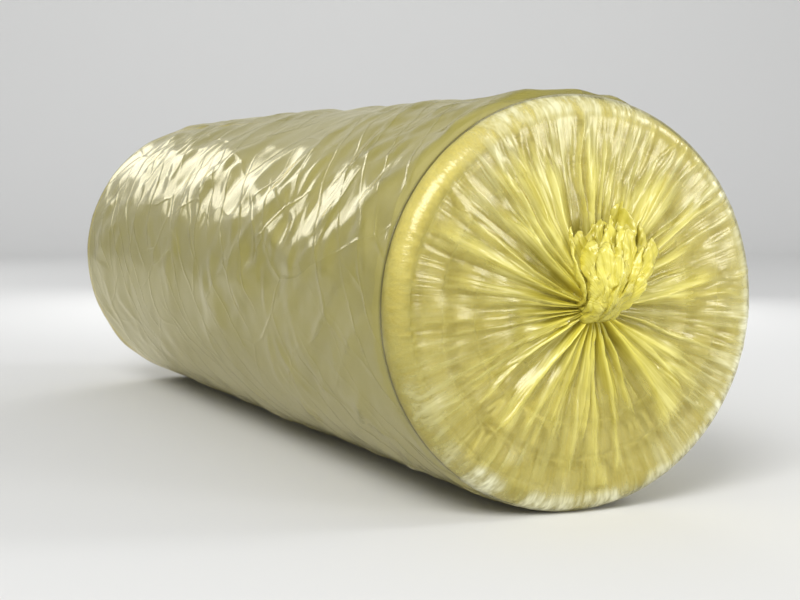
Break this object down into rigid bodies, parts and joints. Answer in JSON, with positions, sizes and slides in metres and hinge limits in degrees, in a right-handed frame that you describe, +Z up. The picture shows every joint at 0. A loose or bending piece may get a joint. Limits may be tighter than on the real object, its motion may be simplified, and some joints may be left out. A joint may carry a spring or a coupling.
{
  "type": "insulation roll",
  "caption": "Roll of foil-faced yellow glass wool blanket in a clear film bag whose mouth is gathered into a tail at one end, lying on its side.",
  "frame": {"origin": "on the floor, under the middle of the roll's whole length and width as it lies on its side", "axes": "+Z up, +Y along the roll's axis towards the closed bottom of the bag, so the gathered mouth faces -Y"},
  "size_m": [0.4002, 1.2546, 0.4001],
  "materials": {
    "glass_wool": "matt yellow glass fibre",
    "foil": "satin crinkled foil facing",
    "film": "thin glossy translucent film, slightly yellow"
  },
  "bodies": {
    "root": {"glass_wool_blanket": "glass_wool", "foil_facing": "foil", "film_bag": "film"}
  },
  "joints": []
}
